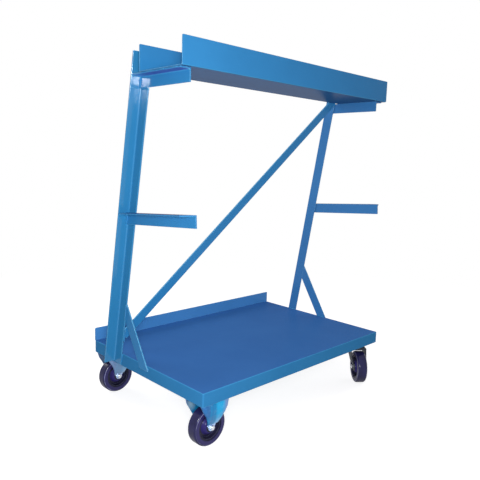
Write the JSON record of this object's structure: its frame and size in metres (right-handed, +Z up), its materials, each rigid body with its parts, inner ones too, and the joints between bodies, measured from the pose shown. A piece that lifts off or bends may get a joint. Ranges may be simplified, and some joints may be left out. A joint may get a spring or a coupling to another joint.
{
  "type": "sheet goods cart",
  "caption": "Steel platform cart with leaning angle posts, side arms, a folded top tray and a lipped deck, on rigid and swivel casters.",
  "frame": {"origin": "on the floor, under the middle of the whole cart with its swivel casters parked turned out", "axes": "+Z up, +X along the deck from the rigid casters to the swivel casters, -Y to the front, where the posts lean and the arms reach, +Y to the back, where the deck's lip stands"},
  "size_m": [1.326, 0.8964, 1.544],
  "materials": {
    "blue_paint": "gloss stoved enamel",
    "zinc": "bright zinc plate",
    "bolt_steel": "bright plated",
    "bearing_steel": "ground",
    "wheel_body": "moulded",
    "tyre_rubber": "satin"
  },
  "bodies": {
    "frame": {"deck": "blue_paint", "back_lip": "blue_paint", "left_caster_channel": "blue_paint", "right_caster_channel": "blue_paint", "front_deck_stiffener": "blue_paint", "back_deck_stiffener": "blue_paint", "left_post": "blue_paint", "right_post": "blue_paint", "left_mid_arm": "blue_paint", "right_mid_arm": "blue_paint", "left_top_arm": "blue_paint", "right_top_arm": "blue_paint", "left_foot_brace": "blue_paint", "right_foot_brace": "blue_paint", "diagonal_brace": "blue_paint", "top_tray": "blue_paint", "caster_bolts": "bolt_steel", "caster_nuts": "bolt_steel", "front_left_bracket": "zinc", "front_left_axle_bolt": "bolt_steel", "front_left_axle_nut": "bolt_steel", "front_left_axle_sleeve": "bearing_steel", "front_right_swivel_plate": "zinc", "front_right_kingpin": "bolt_steel", "back_left_bracket": "zinc", "back_left_axle_bolt": "bolt_steel", "back_left_axle_nut": "bolt_steel", "back_left_axle_sleeve": "bearing_steel", "back_right_swivel_plate": "zinc", "back_right_kingpin": "bolt_steel"},
    "front_left_wheel": {"front_left_wheel_bearing": "bearing_steel", "front_left_wheel_core": "wheel_body", "front_left_tyre": "tyre_rubber"},
    "front_right_swivel": {"front_right_fork": "zinc", "front_right_ball_ring": "bearing_steel", "front_right_axle_bolt": "bolt_steel", "front_right_axle_nut": "bolt_steel", "front_right_axle_sleeve": "bearing_steel"},
    "front_right_wheel": {"front_right_wheel_bearing": "bearing_steel", "front_right_wheel_core": "wheel_body", "front_right_tyre": "tyre_rubber"},
    "back_left_wheel": {"back_left_wheel_bearing": "bearing_steel", "back_left_wheel_core": "wheel_body", "back_left_tyre": "tyre_rubber"},
    "back_right_swivel": {"back_right_fork": "zinc", "back_right_ball_ring": "bearing_steel", "back_right_axle_bolt": "bolt_steel", "back_right_axle_nut": "bolt_steel", "back_right_axle_sleeve": "bearing_steel"},
    "back_right_wheel": {"back_right_wheel_bearing": "bearing_steel", "back_right_wheel_core": "wheel_body", "back_right_tyre": "tyre_rubber"}
  },
  "joints": [
    {"name": "front_left_wheel_spin", "type": "hinge", "parent": "frame", "child": "front_left_wheel", "pos_m": [-0.525, -0.338, 0.08], "axis": [0, 1, 0], "continuous": true},
    {"name": "front_right_swivel_turn", "type": "hinge", "parent": "frame", "child": "front_right_swivel", "pos_m": [0.52, -0.333, 0.172], "axis": [0, 0, 1], "continuous": true},
    {"name": "front_right_wheel_spin", "type": "hinge", "parent": "front_right_swivel", "child": "front_right_wheel", "pos_m": [0.48465, -0.37513, 0.08], "axis": [-0.766, 0.6428, 0], "continuous": true},
    {"name": "back_left_wheel_spin", "type": "hinge", "parent": "frame", "child": "back_left_wheel", "pos_m": [-0.525, 0.338, 0.08], "axis": [0, 1, 0], "continuous": true},
    {"name": "back_right_swivel_turn", "type": "hinge", "parent": "frame", "child": "back_right_swivel", "pos_m": [0.52, 0.333, 0.172], "axis": [0, 0, 1], "continuous": true},
    {"name": "back_right_wheel_spin", "type": "hinge", "parent": "back_right_swivel", "child": "back_right_wheel", "pos_m": [0.48465, 0.37513, 0.08], "axis": [0.766, 0.6428, 0], "continuous": true}
  ]
}
